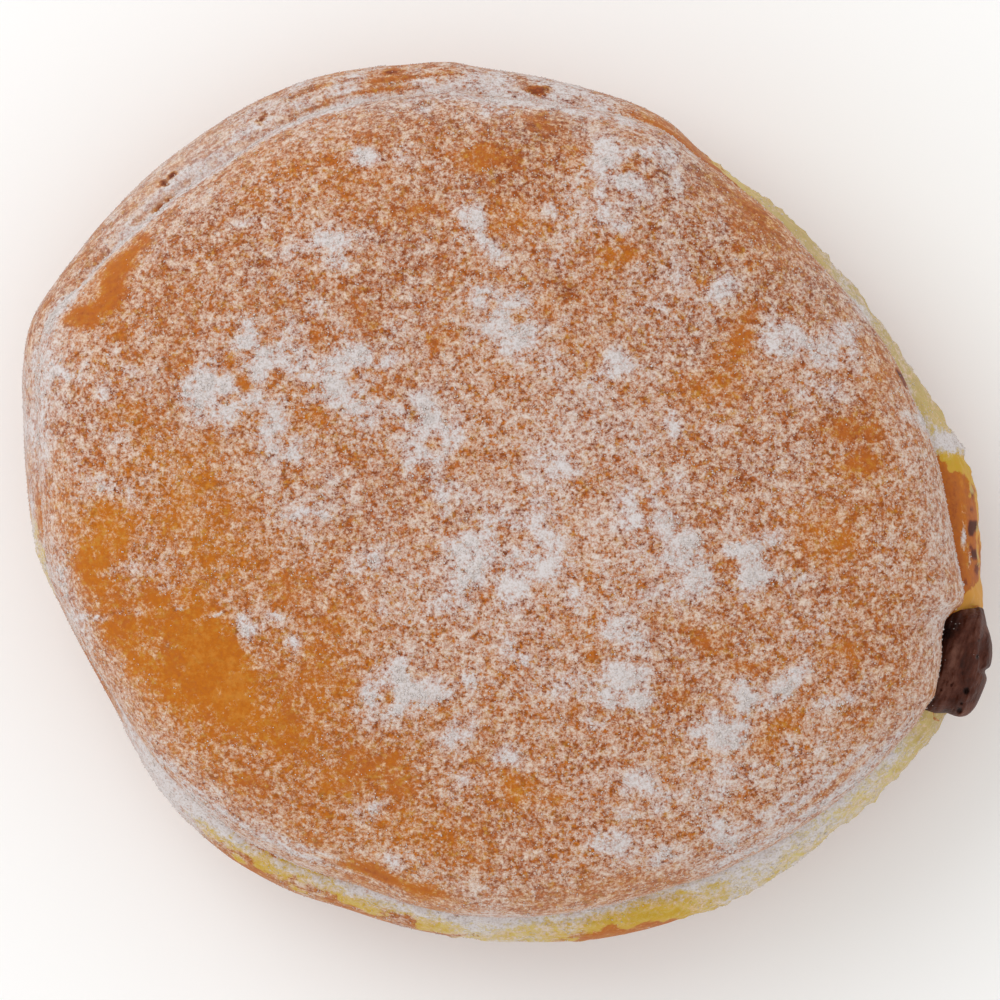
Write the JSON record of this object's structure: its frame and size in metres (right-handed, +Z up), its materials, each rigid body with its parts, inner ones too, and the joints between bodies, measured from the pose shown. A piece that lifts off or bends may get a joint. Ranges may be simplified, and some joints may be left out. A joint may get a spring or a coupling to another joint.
{
  "type": "cream-filled doughnut",
  "caption": "Round fried doughnut with a sugar-dusted flat top crust, a soft collar below it and chocolate cream showing at its filling hole.",
  "frame": {"origin": "centre of the plan bounding box, on the surface the doughnut lies on", "axes": "+Z up through the flat top crust, +X along the longest side of the plan box, towards the side with the filling hole"},
  "size_m": [0.0948, 0.0854, 0.0384],
  "materials": {
    "dough": "fried dough crust, golden brown, dusted with icing sugar",
    "filling": "dark chocolate cream, soft sheen"
  },
  "bodies": {
    "root": {"dough": "dough", "filling": "filling"}
  },
  "joints": []
}
